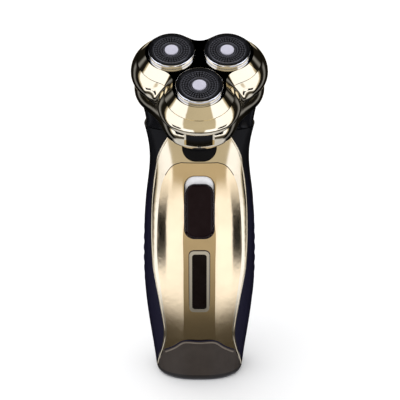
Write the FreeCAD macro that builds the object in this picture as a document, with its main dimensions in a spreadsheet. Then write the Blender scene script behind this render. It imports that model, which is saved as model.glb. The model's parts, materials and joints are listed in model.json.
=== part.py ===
"""Three-head rotary shaver, as an assembly of separate pieces.

Row frame: +Z up along the handle, -Y is the front with the power button, +X to the right.
The origin is the middle of the flat face that the shaver stands on. Millimetres.

The shaving head has a frame of its own, tilted forward about X: its +Z is the way the caps
face, its origin lies on the plane of the cap rims midway between the three caps, and its +Y
points to the rear. Head pieces are drawn there and then placed.
"""

import FreeCAD, Part
import math
import os
import Sketcher
from FreeCAD import Placement, Rotation, Vector

doc = FreeCAD.newDocument("Shaver")
sheet = doc.addObject("Spreadsheet::Sheet", "Sizes")

SIZES = {
    # shaving head: seats, caps and cutters
    "head_tilt": 30.0, "base_tilt": 7.0, "head_y": -15.7, "head_z": 159.6,
    "seat_pitch": 14.2, "rim_radius": 10.4, "rim_height": 3.2, "rim_wall": 1.2,
    "cap_skin": 0.8, "cap_depth": 4.0, "track_inner": 4.5, "track_outer": 8.0,
    "slot_width": 0.45, "disc_radius": 3.0, "seat_bore": 10.9, "seat_ring_wall": 0.4,
    "hub_radius": 3.2, "hub_bottom": 7.0, "blade_plate": 3.2, "blade_height": 1.65,
    "blade_thick": 0.4, "drive_width": 2.6, "drive_thick": 1.2, "drive_gap": 0.75,
    "drive_reach": 1.2, "float_travel": 1.2, "carrier_thick": 1.0, "carrier_bore": 7.0,
    "spring_radius": 7.9, "spring_wire": 0.5, "retainer_top": 9.0, "retainer_thick": 1.2,
    "hinge_y": 23.8, "hinge_z": -17.0, "knuckle_radius": 1.8, "hinge_pin": 0.7,
    # gear train
    "pinion_teeth": 12, "gear_teeth": 36, "gear_top": 22.0, "gear_thick": 2.4,
    "spindle_radius": 1.6, "shaft_radius": 1.0, "mount_top": 25.2, "mount_thick": 1.4,
    "motor_radius": 10.2, "motor_flats": 15.4, "motor_length": 24.4,
    "stub_radius": 1.0, "plate_radius": 12.4, "plate_bore": 2.0, "plate_ear": 3.2,
    # retainer
    "retainer_hub": 6.5, "retainer_bore": 1.6, "holder_radius": 9.0, "holder_bore": 4.8,
    "lock_radius": 3.8, "lock_stem": 1.4,
    # handle
    "wall": 1.8, "neck_z": 126.0, "grip_depth": 1.1,
    "slot_bottom": 76.6, "slot_top": 106.4, "slot_half": 6.7, "button_top": 102.4,
    "button_gap": 0.4, "window_bottom": 38.9, "window_top": 70.5, "window_half": 4.7,
    "battery_radius": 7.0, "battery_length": 50.0, "battery_z": 14.0, "battery_y": 5.0,
    "board_y": -13.0, "board_thick": 1.2, "board_half": 12.5, "board_bottom": 26.0,
    "board_top": 106.0, "socket_y": 4.0, "socket_width": 13.0, "socket_depth": 8.0,
    "screw_head": 2.3, "screw_shank": 1.2,
}


class Size:
    """A number together with the spreadsheet expression that gives it."""

    def __init__(self, value, text):
        self.value = float(value)
        self.text = text

    def __add__(self, other):
        other = size(other)
        return Size(self.value + other.value, f"({self.text} + {other.text})")

    def __sub__(self, other):
        other = size(other)
        return Size(self.value - other.value, f"({self.text} - {other.text})")

    def __mul__(self, factor):
        factor = size(factor)
        return Size(self.value * factor.value, f"({self.text} * {factor.text})")

    def __neg__(self):
        return Size(-self.value, f"(-1 * {self.text})")

    __rmul__ = __mul__


def size(value):
    return value if isinstance(value, Size) else Size(value, repr(float(value)))


class Sheet:
    """The driving dimensions: each is an attribute that holds its value and its cell's alias."""


S = Sheet()
for row, (alias, number) in enumerate(SIZES.items(), start=1):
    sheet.set(f"A{row}", alias.replace("_", " "))
    sheet.set(f"B{row}", str(number))
    sheet.setAlias(f"B{row}", alias)
    setattr(S, alias, Size(number, f"Sizes.{alias}"))
doc.recompute()

parts = {}


def keep(label, feature, placement=None):
    """Names a finished sub-part, puts it in place and marks it for export."""
    feature.Label = label
    if placement is not None:
        feature.Placement = placement
    parts[label] = feature
    return feature


def bind(feature, **sizes):
    for name, value in sizes.items():
        feature.setExpression(name, size(value).text)


# ---------------------------------------------------------------- placements

HEAD = Placement(
    Vector(0, S.head_y.value, S.head_z.value), Rotation(Vector(1, 0, 0), S.head_tilt.value)
)
SEATS = {"front": -90.0, "right": 30.0, "left": 150.0}


def seat(name):
    """The place of a seat: on the circle of seats, with its own +Y pointing outwards."""
    turn = Rotation(Vector(0, 0, 1), SEATS[name])
    middle = turn.multVec(Vector(S.seat_pitch.value, 0, 0))
    return HEAD.multiply(Placement(middle, Rotation(Vector(0, 0, 1), SEATS[name] - 90)))


# ---------------------------------------------------------------- PartDesign helpers


def new_body(label):
    return doc.addObject("PartDesign::Body", label)


def origin_feature(body, role):
    return next(f for f in body.Origin.OriginFeatures if f.Role == role)


def new_sketch(body, plane, height=0):
    sketch = body.newObject("Sketcher::SketchObject", "Outline")
    sketch.AttachmentSupport = [(origin_feature(body, plane), "")]
    sketch.MapMode = "FlatFace"
    height = size(height)
    sketch.AttachmentOffset = Placement(Vector(0, 0, height.value), Rotation())
    sketch.setExpression("AttachmentOffset.Base.z", height.text)
    return sketch


def hold_point(sketch, geometry, vertex, x, y):
    """Fixes a vertex of a sketch at x, y with constraints that read the spreadsheet."""
    for kind, value, axis in (("DistanceX", size(x), -2), ("DistanceY", size(y), -1)):
        if abs(value.value) < 1e-9:
            sketch.addConstraint(Sketcher.Constraint("PointOnObject", geometry, vertex, axis))
            continue
        index = sketch.addConstraint(
            Sketcher.Constraint(kind, -1, 1, geometry, vertex, value.value)
        )
        sketch.setExpression(f"Constraints[{index}]", value.text)


def polygon_sketch(body, plane, points, height=0):
    sketch = new_sketch(body, plane, height)
    corners = [Vector(size(x).value, size(y).value, 0) for x, y in points]
    count = len(corners)
    for i in range(count):
        sketch.addGeometry(Part.LineSegment(corners[i], corners[(i + 1) % count]), False)
    for i in range(count):
        sketch.addConstraint(Sketcher.Constraint("Coincident", i, 2, (i + 1) % count, 1))
    for i, (x, y) in enumerate(points):
        hold_point(sketch, i, 1, x, y)
    return sketch


def circle_sketch(body, circles, height=0):
    """Circles as (x, y, radius) on the XY plane; one inside another makes a ring."""
    sketch = new_sketch(body, "XY_Plane", height)
    for i, (x, y, radius) in enumerate(circles):
        middle = Vector(size(x).value, size(y).value, 0)
        sketch.addGeometry(Part.Circle(middle, Vector(0, 0, 1), size(radius).value), False)
        hold_point(sketch, i, 3, x, y)
        index = sketch.addConstraint(Sketcher.Constraint("Radius", i, size(radius).value))
        sketch.setExpression(f"Constraints[{index}]", size(radius).text)
    return sketch


def revolve(body, points):
    """Turns a profile of (radius, z) points about the body's Z axis."""
    sketch = polygon_sketch(body, "XZ_Plane", points)
    feature = body.newObject("PartDesign::Revolution", "Turned")
    feature.Profile = sketch
    feature.ReferenceAxis = (sketch, ["V_Axis"])
    feature.Angle = 360
    return feature


def pad(body, sketch, length):
    feature = body.newObject("PartDesign::Pad", "Raised")
    feature.Profile = sketch
    bind(feature, Length=length)
    return feature


def pocket(body, sketch, length, upwards=True):
    """Cuts from the sketch's plane along +Z, or along -Z."""
    feature = body.newObject("PartDesign::Pocket", "Cut")
    feature.Profile = sketch
    feature.Reversed = upwards
    bind(feature, Length=length)
    return feature


def polar(body, features, count):
    pattern = body.newObject("PartDesign::PolarPattern", "Pattern")
    pattern.Originals = features
    pattern.Axis = (origin_feature(body, "Z_Axis"), [""])
    pattern.Angle = 360
    pattern.Occurrences = count
    body.Tip = pattern
    return pattern


def rectangle(x_half, y_low, y_high):
    return [(-x_half, y_low), (x_half, y_low), (x_half, y_high), (-x_half, y_high)]


def cylinder(radius, height, base):
    feature = doc.addObject("Part::Cylinder", "Round")
    bind(feature, Radius=radius, Height=height)
    feature.Placement = base if isinstance(base, Placement) else Placement(base, Rotation())
    return feature


def block(length, width, height, corner):
    feature = doc.addObject("Part::Box", "Block")
    bind(feature, Length=length, Width=width, Height=height)
    feature.Placement = Placement(corner, Rotation())
    return feature


def cut(base, tool):
    feature = doc.addObject("Part::Cut", "Cut")
    feature.Base, feature.Tool = base, tool
    return feature


def fuse(*pieces):
    feature = doc.addObject("Part::MultiFuse", "Fused")
    feature.Shapes = list(pieces)
    return feature


def shaped(label, shape, placement=None):
    """A free-form piece, whose shape comes from Part's own functions."""
    feature = doc.addObject("Part::Feature", label)
    feature.Shape = shape
    return keep(label, feature, placement)


# ---------------------------------------------------------------- shaving caps and cutters


def make_rim(name):
    body = new_body(f"rim_ring_{name}")
    inner = S.rim_radius - S.rim_wall
    revolve(body, [
        (inner, -S.rim_height), (S.rim_radius, -S.rim_height), (S.rim_radius, -0.55),
        (S.rim_radius - 0.15, -0.2), (S.rim_radius - 0.5, 0.0), (inner + 0.3, 0.0),
        (inner, -0.3),
    ])
    keep(f"rim_ring_{name}", body, seat(name))


def make_cap(name):
    """The slotted guard: a cup whose top carries a raised track with radial slots."""
    body = new_body(f"slotted_cap_{name}")
    outer = S.rim_radius - S.rim_wall
    revolve(body, [
        (S.disc_radius, -1.2), (outer - S.cap_skin, -1.2), (outer - S.cap_skin, -S.cap_depth),
        (outer, -S.cap_depth), (outer, -0.65), (S.track_outer + 0.35, -0.65),
        (S.track_outer, -0.25), (S.track_inner, -0.25), (S.track_inner - 0.35, -0.65),
        (S.disc_radius, -0.65),
    ])
    slot = polygon_sketch(
        body, "XY_Plane",
        rectangle(S.slot_width * 0.5, S.track_inner + 0.2, S.track_outer - 0.1), -1.6,
    )
    opening = pocket(body, slot, 2.0)
    polar(body, [opening], 36)
    keep(f"slotted_cap_{name}", body, seat(name))


def make_disc(name):
    body = new_body(f"centre_disc_{name}")
    r = S.disc_radius
    revolve(body, [
        (0, -1.7), (r - 0.7, -1.7), (r - 0.7, -1.2), (r, -1.2), (r, -0.15),
        (r - 0.25, 0.05), (0, 0.15),
    ])
    keep(f"centre_disc_{name}", body, seat(name))


def make_cutter(name):
    """The spinning cutter: a hub with a drive slot, a plate and upright blades."""
    body = new_body(f"rotary_cutter_{name}")
    plate = -S.blade_plate
    blade_outer = S.track_outer - 0.2
    revolve(body, [
        (0, -S.hub_bottom), (S.hub_radius, -S.hub_bottom), (S.hub_radius, plate - 0.5),
        (blade_outer, plate - 0.5), (blade_outer, plate), (S.hub_radius - 0.6, plate),
        (S.hub_radius - 1.2, -2.1), (0, -2.1),
    ])
    blade = polygon_sketch(
        body, "XY_Plane", rectangle(S.blade_thick * 0.5, S.track_inner, blade_outer - 0.1), plate
    )
    polar(body, [pad(body, blade, S.blade_height)], 15)
    socket = polygon_sketch(
        body, "XY_Plane",
        rectangle(
            S.drive_width * 0.5 + S.drive_gap,
            -S.drive_thick * 0.5 - S.drive_gap, S.drive_thick * 0.5 + S.drive_gap,
        ),
        -S.hub_bottom,
    )
    body.Tip = pocket(body, socket, S.hub_bottom - S.blade_plate)
    keep(f"rotary_cutter_{name}", body, seat(name))


def make_carrier(name):
    """The sprung ring that the cap floats on."""
    body = new_body(f"cap_carrier_{name}")
    outer = S.rim_radius - S.rim_wall
    top, bottom = -S.cap_depth, -S.cap_depth - S.carrier_thick
    revolve(body, [
        (S.carrier_bore, bottom), (outer, bottom), (outer, top), (outer - 0.6, top),
        (outer - 0.6, top - 0.3), (S.carrier_bore, top - 0.3),
    ])
    keep(f"cap_carrier_{name}", body, seat(name))


COIL_STEPS = 16  # points on the spring's line in each turn


def coil_spring(radius, wire, low, high, turns):
    """An open coil of round wire about Z, which fills the gap from low to high."""
    start = low + wire / 2 + 0.02
    rise = high - low - wire - 0.04
    steps = round(turns * COIL_STEPS)
    line = []
    for i in range(steps + 1):
        angle = 2 * math.pi * turns * i / steps
        x, y = radius * math.cos(angle), radius * math.sin(angle)
        line.append(Vector(x, y, start + rise * i / steps))
    helix = Part.BSplineCurve()
    helix.interpolate(line)
    section = Part.Wire(
        Part.makeCircle(wire / 2, Vector(radius, 0, start), Vector(0, 1, 0))
    )
    return Part.Wire(helix.toShape()).makePipeShell([section], True, True)


def make_spring(name):
    low = -S.retainer_top.value
    high = -(S.cap_depth + S.carrier_thick).value
    coil = coil_spring(S.spring_radius.value, S.spring_wire.value, low, high, 2.5)
    shaped(f"float_spring_{name}", coil, seat(name))


def make_spindle(name):
    """The drive spindle: a round shaft on its gear, flattened at the tip."""
    body = new_body(f"drive_spindle_{name}")
    shoulder = -S.hub_bottom - S.float_travel - 0.4
    stub = -S.mount_top - S.mount_thick + 0.2
    revolve(body, [
        (0, stub), (S.stub_radius, stub), (S.stub_radius, -S.gear_top),
        (S.spindle_radius, -S.gear_top),
        (S.spindle_radius, shoulder), (0, shoulder),
    ])
    tip = polygon_sketch(
        body, "XY_Plane",
        rectangle(S.drive_width * 0.5, -S.drive_thick * 0.5, S.drive_thick * 0.5), shoulder,
    )
    pad(body, tip, S.drive_reach - S.hub_bottom - shoulder)
    keep(f"drive_spindle_{name}", body, seat(name))


# ---------------------------------------------------------------- gear train


def gear_shape(teeth, module, bore, thick, first_tooth):
    """A spur gear with involute flanks and some backlash, from z = 0 up."""
    pitch = module * teeth / 2
    base = pitch * math.cos(math.radians(20))
    root = pitch - 1.25 * module
    tip = pitch + 0.9 * module
    backlash = 0.045 * module / pitch * 4

    def half_angle(radius):
        inv_pitch = math.tan(math.radians(20)) - math.radians(20)
        at = math.acos(min(1.0, base / max(radius, base)))
        return math.pi / (2 * teeth) + inv_pitch - (math.tan(at) - at) - backlash

    flank = [root, max(base, root + 0.02), pitch, tip]
    corners = []
    for i in range(teeth):
        centre = math.radians(first_tooth) + 2 * math.pi * i / teeth
        for radius, side in [(r, -1) for r in flank] + [(r, 1) for r in reversed(flank)]:
            angle = centre + side * half_angle(radius)
            corners.append(Vector(radius * math.cos(angle), radius * math.sin(angle), 0))
    outline = Part.Wire(Part.makePolygon(corners + corners[:1]))
    gear = Part.Face(outline).extrude(Vector(0, 0, thick))
    return gear.cut(Part.makeCylinder(bore, thick * 3, Vector(0, 0, -thick)))


MODULE = 2 * S.seat_pitch.value / (S.pinion_teeth.value + S.gear_teeth.value)


def make_gears():
    low = Placement(Vector(0, 0, -S.gear_top.value - S.gear_thick.value), Rotation())
    thick = S.gear_thick.value
    pinion = gear_shape(
        int(S.pinion_teeth.value), MODULE, S.shaft_radius.value, thick, SEATS["front"]
    )
    shaped("motor_pinion", pinion, HEAD.multiply(low))
    half_pitch = 180 / S.gear_teeth.value
    for name in SEATS:
        # A seat's own -Y points at the pinion, where the gear has a gap.
        gear = gear_shape(
            int(S.gear_teeth.value), MODULE, S.stub_radius.value, thick, -90 + half_pitch
        )
        shaped(f"drive_gear_{name}", gear, seat(name).multiply(low))


def make_motor():
    top = -S.mount_top - S.mount_thick
    bottom = top - S.motor_length
    can = new_body("motor_can")
    r, flat = S.motor_radius, S.motor_flats
    pad(can, circle_sketch(can, [(0, 0, r), (0, 0, S.shaft_radius + 0.05)], bottom),
        S.motor_length)
    for low, high in ((flat * 0.5, r + 1.0), (-r - 1.0, -flat * 0.5)):
        side = polygon_sketch(can, "XY_Plane", rectangle(r + 1.0, low, high), bottom - 0.5)
        can.Tip = pocket(can, side, S.motor_length + 1.0)
    keep("motor_can", can, HEAD)

    end = new_body("motor_end_cap")
    revolve(end, [
        (1.3, bottom - 2.6), (4.5, bottom - 2.6), (7.2, bottom - 1.6), (7.2, bottom),
        (1.3, bottom),
    ])
    keep("motor_end_cap", end, HEAD)

    plate = new_body("gear_plate")
    rims = [(0, 0, S.plate_radius), (0, 0, S.plate_bore)]
    pad(plate, circle_sketch(plate, rims, top), S.mount_thick)
    ear = circle_sketch(plate, [(0, -S.seat_pitch, S.plate_ear)], top)
    arm = pad(plate, ear, S.mount_thick)
    hole = circle_sketch(plate, [(0, -S.seat_pitch, S.stub_radius + 0.05)], top - 0.5)
    bearing = pocket(plate, hole, S.mount_thick + 1.0)
    polar(plate, [arm, bearing], 3)
    keep("gear_plate", plate, HEAD)

    shaft = cylinder(
        S.shaft_radius, S.motor_length + S.mount_thick + 4.0,
        HEAD.multiply(Placement(Vector(0, 0, bottom.value), Rotation())),
    )
    keep("motor_shaft", shaft)


# ---------------------------------------------------------------- lobed shells of the head

LOBE_POINTS = 36
OVAL_POINTS = 20


def ring_angles(count):
    return [2 * math.pi * i / count for i in range(count)]


def closed_spline(points):
    curve = Part.BSplineCurve()
    curve.interpolate(Points=points, PeriodicFlag=True)
    return Part.Wire(curve.toShape())


def lobe_reach(turn, lobe, waist):
    """How far a three-lobed outline lies from its middle, at an angle from a lobe's own.

    Each lobe is an arc about its seat, and a hollow arc between two lobes touches both. The
    hollow arc stands at the distance waist from the middle.
    """
    pitch = S.seat_pitch.value
    sixth = math.pi / 3
    along, across = pitch * math.cos(sixth), pitch * math.sin(sixth)
    dent = waist - along
    flank = (dent**2 + across**2 - lobe**2) / (2 * (lobe - dent))
    centre = waist + flank
    share = lobe / (lobe + flank)
    join = math.atan2(across * (1 - share), along + (centre - along) * share)
    turn = abs((turn + sixth) % (2 * sixth) - sixth)
    if turn < sixth - join:
        return pitch * math.cos(turn) + math.sqrt(lobe**2 - (pitch * math.sin(turn)) ** 2)
    turn = sixth - turn
    return centre * math.cos(turn) - math.sqrt(flank**2 - (centre * math.sin(turn)) ** 2)


def lobed(lobe, waist, depth, tilt=0.0):
    """A three-lobed outline round the seats, in the head's frame.

    depth is how far it lies under the rims at the front lobe's tip, and tilt leans its plane
    down towards the rear, in degrees.
    """
    front = math.radians(SEATS["front"])
    points = []
    for a in ring_angles(LOBE_POINTS):
        r = lobe_reach(a - front, lobe, waist)
        y = r * math.sin(a)
        z = -depth - math.tan(math.radians(tilt)) * (y + S.seat_pitch.value + lobe)
        points.append(Vector(r * math.cos(a), y, z))
    return closed_spline(points)


def loft(sections, ruled=False):
    return Part.makeLoft(sections, True, ruled)


def lobed_solid(rows, ruled=False):
    """A solid through lobed outlines, from rows of (lobe, waist, depth, tilt)."""
    return loft([lobed(*row) for row in rows], ruled)


BASE_TILT = S.base_tilt.value

# lobe, waist and depth of each outline, and its tilt where it leans
TOP_SKIN = [(11.75, 14.6, 1.9), (15.1, 17.7, 6.5)]
TOP_HOLLOW = [(10.4, 13.0, 3.3), (13.7, 16.3, 6.51)]
HOUSING_SKIN = [
    (15.2, 17.8, 6.75), (17.5, 20.2, 9.2), (18.6, 22.0, 11.6, 2.5), (17.5, 21.8, 13.5, BASE_TILT),
]
HOUSING_HOLLOW = [
    (13.7, 16.3, 6.4), (15.5, 18.7, 9.2), (16.5, 20.5, 11.6, 2.5), (15.5, 20.3, 14.1, BASE_TILT),
]
HOUSING_LIP = [(14.6, 17.2, 6.5), (14.9, 17.5, 7.2)]
RING_SKIN = [
    (16.5, 22.3, 15.5, BASE_TILT), (17.2, 23.1, 17.4, BASE_TILT),
    (17.4, 23.3, 20.4, BASE_TILT), (16.8, 22.7, 23.2, BASE_TILT),
]
RING_HOLLOW = [(15.9, 21.7, 15.2, BASE_TILT), (15.9, 21.7, 23.6, BASE_TILT)]
DECK_SKIN = [(15.8, 21.6, 14.6, BASE_TILT), (15.8, 21.6, 21.6, BASE_TILT)]
DECK_HOLLOW = [(14.6, 20.4, 15.8, BASE_TILT), (14.6, 20.4, 22.0, BASE_TILT)]
FUNNEL_SKIN = [(16.5, 22.4, 23.25, BASE_TILT), (14.9, 20.6, 24.9, BASE_TILT)]
FUNNEL_HOLLOW = [(15.3, 21.2, 23.2, BASE_TILT), (13.8, 19.4, 23.8, BASE_TILT)]

POST_RADIUS, POST_HEIGHT, POST_BORE = 3.2, 6.2, 1.5
KNUCKLE_HALF, FORK_WIDTH, PIN_HALF = 3.0, 3.2, 6.5
RECESS_WIDTH, RECESS_DEPTH, RECESS_HEIGHT = 13.2, 6.0, 6.3
RECESS_FRONT, RECESS_LOW = -35.0, -21.0


def seat_cylinder(name, radius, low, high):
    shape = Part.makeCylinder(radius, high - low, Vector(0, 0, low))
    turn = Rotation(Vector(0, 0, 1), SEATS[name])
    shape.translate(turn.multVec(Vector(S.seat_pitch.value, 0, 0)))
    return shape


def make_shaving_unit():
    make_top_frame()
    make_lower_housing()
    make_retainer()
    rings = []
    for name in SEATS:
        outer = seat_cylinder(name, S.seat_bore.value, -4.2, -2.2)
        hole = seat_cylinder(name, (S.seat_bore - S.seat_ring_wall).value, -5.0, -2.0)
        rings.append(outer.cut(hole))
    shaped("seat_rings", Part.makeCompound(rings), HEAD)


def make_top_frame():
    post_low = -S.retainer_top.value
    post = Part.makeCylinder(POST_RADIUS, POST_HEIGHT, Vector(0, 0, post_low))
    frame = lobed_solid(TOP_SKIN, ruled=True).cut(lobed_solid(TOP_HOLLOW, ruled=True)).fuse(post)
    bore = Part.makeCylinder(POST_BORE, 3.6, Vector(0, 0, post_low - 0.1))
    frame = frame.cut(bore)
    for name in SEATS:
        frame = frame.cut(seat_cylinder(name, S.seat_bore.value, -9.5, 1.0))
    shaped("top_frame", frame, HEAD)


def make_lower_housing():
    """The hair chamber's wall, with a lip that the top frame sits on and a hinge knuckle."""
    skin = lobed_solid(HOUSING_SKIN)
    hollow = lobed_solid(HOUSING_HOLLOW)
    lip = lobed_solid(HOUSING_LIP, ruled=True)
    y, z = S.hinge_y.value, S.hinge_z.value
    block = Part.makeBox(14.0, 6.5, 7.5, Vector(-7.0, y - 5.3, z - 3.4)).common(skin)
    notch = Part.makeBox(14.0, 9.0, 12.0, Vector(-7.0, y - 2.2, z - 9.6))
    housing = skin.fuse(lip).cut(hollow).fuse(block).cut(notch)
    arm = Part.makeBox(2 * KNUCKLE_HALF, 3.4, 3.2, Vector(-KNUCKLE_HALF, y - 3.4, z - 1.6))
    knuckle = hinge_rod(S.knuckle_radius.value, -KNUCKLE_HALF, KNUCKLE_HALF)
    housing = housing.fuse(arm).fuse(knuckle)
    shaped("lower_housing", housing.cut(hinge_rod(S.hinge_pin.value + 0.08, -8, 8)), HEAD)


def hinge_rod(radius, low, high):
    base = Vector(low, S.hinge_y.value, S.hinge_z.value)
    return Part.makeCylinder(radius, high - low, base, Vector(1, 0, 0))


def make_retainer():
    retainer = new_body("retainer_frame")
    bottom = -S.retainer_top - S.retainer_thick
    hub = [(0, 0, S.retainer_hub), (0, 0, S.retainer_bore)]
    pad(retainer, circle_sketch(retainer, hub, bottom), S.retainer_thick)
    disc = circle_sketch(retainer, [(0, -S.seat_pitch, S.holder_radius)], bottom)
    holder = pad(retainer, disc, S.retainer_thick)
    bore = circle_sketch(retainer, [(0, -S.seat_pitch, S.holder_bore)], bottom - 0.5)
    hole = pocket(retainer, bore, S.retainer_thick + 1.0)
    polar(retainer, [holder, hole], 3)
    keep("retainer_frame", retainer, HEAD)

    lock = new_body("retainer_lock")
    knob = bottom - 0.1
    revolve(lock, [
        (0, knob - 1.0), (S.lock_radius - 0.4, knob - 1.0), (S.lock_radius, knob - 0.6),
        (S.lock_radius, knob), (S.lock_stem, knob), (S.lock_stem, -6.0), (0, -6.0),
    ])
    grip = polygon_sketch(lock, "XY_Plane", rectangle(0.6, -3.2, 3.2), knob - 2.4)
    pad(lock, grip, 1.5)
    keep("retainer_lock", lock, HEAD)


# ---------------------------------------------------------------- fixed base of the head


NECK_HALF, NECK_FRONT, NECK_BACK = 24.7, -12.6, 19.8


def neck_outline(inset):
    """The oval where the head's base stands on the handle."""
    points = []
    for a in ring_angles(OVAL_POINTS):
        x, y = handle_point(NECK_HALF - inset, NECK_FRONT + inset, NECK_BACK - inset, a)
        points.append(Vector(x, y, S.neck_z.value))
    return closed_spline(points)


def in_handle_frame(wire):
    wire.Placement = HEAD.multiply(wire.Placement)
    return wire


def make_head_base():
    make_base_ring()
    shaped("hinge_pin", hinge_rod(S.hinge_pin.value, -PIN_HALF, PIN_HALF), HEAD)
    make_gear_deck()
    make_base_housing()


def make_base_ring():
    """The ring under the joint of the head, with a recess in front and a fork behind."""
    y, z = S.hinge_y.value, S.hinge_z.value
    ring = lobed_solid(RING_SKIN).cut(lobed_solid(RING_HOLLOW, ruled=True))
    corner = Vector(-RECESS_WIDTH / 2, RECESS_FRONT, RECESS_LOW)
    ring = ring.cut(Part.makeBox(RECESS_WIDTH, RECESS_DEPTH, RECESS_HEIGHT, corner))
    for low in (-PIN_HALF, KNUCKLE_HALF + 0.3):
        arm = Part.makeBox(FORK_WIDTH, 3.4, 9.5, Vector(low, y - 1.6, z - 9.5))
        ring = ring.fuse(arm).fuse(hinge_rod(S.knuckle_radius.value, low, low + FORK_WIDTH))
    shaped("base_ring", ring.cut(hinge_rod(S.hinge_pin.value, -8, 8)), HEAD)


def make_gear_deck():
    """The floor of the hair chamber, which the spindles stand through."""
    deck = lobed_solid(DECK_SKIN, ruled=True).cut(lobed_solid(DECK_HOLLOW, ruled=True))
    for name in SEATS:
        deck = deck.cut(seat_cylinder(name, S.spindle_radius.value + 0.4, -30, 0))
    shaped("gear_deck", deck, HEAD)


def make_base_housing():
    """The funnel from the lobed ring down to the oval neck of the handle."""
    outer = [in_handle_frame(lobed(*row)) for row in FUNNEL_SKIN] + [neck_outline(0)]
    inner = [in_handle_frame(lobed(*row)) for row in FUNNEL_HOLLOW] + [neck_outline(1.6)]
    shaped("base_housing", loft(outer, ruled=True).cut(loft(inner, ruled=True)))


# ---------------------------------------------------------------- handle

ROUNDING = 2.5
HANDLE = [
    # height, half width, front, back
    (3.2, 21.5, -17.9, 17.0),
    (12.0, 22.5, -18.5, 17.8),
    (30.0, 24.9, -19.9, 19.2),
    (55.0, 26.6, -20.6, 20.3),
    (80.0, 25.9, -20.3, 20.9),
    (98.0, 24.2, -19.2, 21.2),
    (111.0, 23.1, -17.7, 21.2),
    (119.0, 23.8, -15.7, 20.9),
    (126.0, 25.4, -13.2, 20.4),
]
BOTTOM_CAP = [(0.0, 19.9, -16.6, 15.7), (1.0, 20.9, -17.5, 16.6), (3.15, 21.45, -17.85, 16.95)]


def handle_point(half_width, front, back, angle):
    c, s = math.cos(angle), math.sin(angle)
    x = half_width * math.copysign(abs(c) ** (2 / ROUNDING), c)
    depth = back if s > 0 else -front
    return x, depth * math.copysign(abs(s) ** (2 / ROUNDING), s)


def handle_section(z, half_width, front, back, inset):
    points = []
    for a in ring_angles(OVAL_POINTS):
        x, y = handle_point(half_width - inset, front + inset, back - inset, a)
        points.append(Vector(x, y, z))
    return closed_spline(points)


def handle_solid(inset):
    return loft([handle_section(*row, inset) for row in HANDLE])


def front_prism(outline):
    """A prism along Y through the front of the handle from an outline of (x, z) points.

    The outline is the right-hand side, from the bottom up; the left mirrors it.
    """
    right = [Vector(x, -40, z) for x, z in outline]
    left = [Vector(-x, -40, z) for x, z in reversed(outline)]
    edges = []
    for side in (right, left):
        curve = Part.BSplineCurve()
        curve.interpolate(Points=side)
        edges.append(curve.toShape())
    top = Part.makeLine(right[-1], left[0])
    bottom = Part.makeLine(left[-1], right[0])
    wire = Part.Wire([edges[0], top, edges[1], bottom])
    return Part.Face(wire).extrude(Vector(0, 40, 0))


def rounded_block(half_width, low_z, high_z, radius, front, back):
    """A block with rounded corners seen from the front, from y = front to y = back."""
    box = Part.makeBox(
        2 * half_width, back - front, high_z - low_z, Vector(-half_width, front, low_z)
    )
    upright = [e for e in box.Edges if abs(e.tangentAt(e.FirstParameter).y) > 0.99]
    return box.makeFillet(radius, upright)


GOLD_EDGE = [
    (21.4, 2.0), (20.2, 9.0), (18.4, 16.0), (17.1, 24.0), (18.1, 36.0), (20.0, 48.0),
    (21.7, 58.0), (22.6, 70.0), (22.5, 84.0), (21.9, 95.0), (20.6, 106.0), (18.3, 116.0),
    (14.4, 123.4), (12.0, 127.0),
]
PANEL_EDGE = [
    (20.4, 2.0), (19.1, 9.0), (17.1, 16.0), (15.7, 24.0), (16.5, 36.0), (18.0, 48.0),
    (19.2, 58.0), (19.8, 70.0), (19.3, 84.0), (18.3, 95.0), (16.7, 103.0), (14.4, 108.0),
    (11.7, 111.2), (8.3, 112.6),
]
GRIP_ARC, GRIP_MIDDLE, GRIP_FRONT, GRIP_BACK = 60.0, 62.0, 54.0, -52.0
BUTTON_HALF, BUTTON_HEIGHT, BUTTON_CORNER = 7.5, 8.6, 6.0
BUTTON_FRONT, BUTTON_BACK, BUTTON_SPRING_END = -1.6, 3.4, 6.6
SLOT_CORNER, WINDOW_CORNER, PAD_CORNER = 4.6, 2.2, 4.2
BUTTON_PLACE = Placement(Vector(0, -17.0, 113.4), Rotation(Vector(1, 0, 0), -22))
STRIP_HALF = 7.5
CHIN_EDGE = [(-30.0, -1.0), (30.0, -1.0), (30.0, 13.0), (17.2, 15.3), (7.5, 22.6)]


def button_prism(grow, front, back):
    """The release button's rounded outline, drawn along the slope of the shoulder."""
    half = BUTTON_HALF + grow
    tall = BUTTON_HEIGHT + 2 * grow
    box = Part.makeBox(2 * half, back - front, tall, Vector(-half, front, -grow))
    low = [
        e for e in box.Edges
        if abs(e.tangentAt(e.FirstParameter).y) > 0.99 and e.CenterOfMass.z < 1
    ]
    shape = box.makeFillet(BUTTON_CORNER + grow, low)
    shape.Placement = BUTTON_PLACE
    return shape


def flat_strip_cutter():
    """Takes the crown off the middle of the front, which leaves a flat strip up the panel."""
    profile = []
    for z, half_width, front, back in HANDLE:
        side = (STRIP_HALF / half_width) ** ROUNDING
        profile.append(Vector(-STRIP_HALF - 1, front * (1 - side) ** (1 / ROUNDING), z))
    curve = Part.BSplineCurve()
    curve.interpolate(Points=profile)
    low, high = profile[0], profile[-1]
    front_low, front_high = Vector(low.x, -40, low.z), Vector(low.x, -40, high.z)
    wire = Part.Wire([
        curve.toShape(), Part.makeLine(high, front_high), Part.makeLine(front_high, front_low),
        Part.makeLine(front_low, low),
    ])
    return Part.Face(wire).extrude(Vector(2 * STRIP_HALF + 2, 0, 0))


def chin_prism():
    """The chin's outline from the front: flat over the strip and sloping down to its sides."""
    corners = CHIN_EDGE + [(-x, z) for x, z in reversed(CHIN_EDGE[3:])] + [(-30.0, 13.0)]
    points = [Vector(x, -40, z) for x, z in corners]
    return Part.Face(Part.makePolygon(points + points[:1])).extrude(Vector(0, 40, 0))


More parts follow.
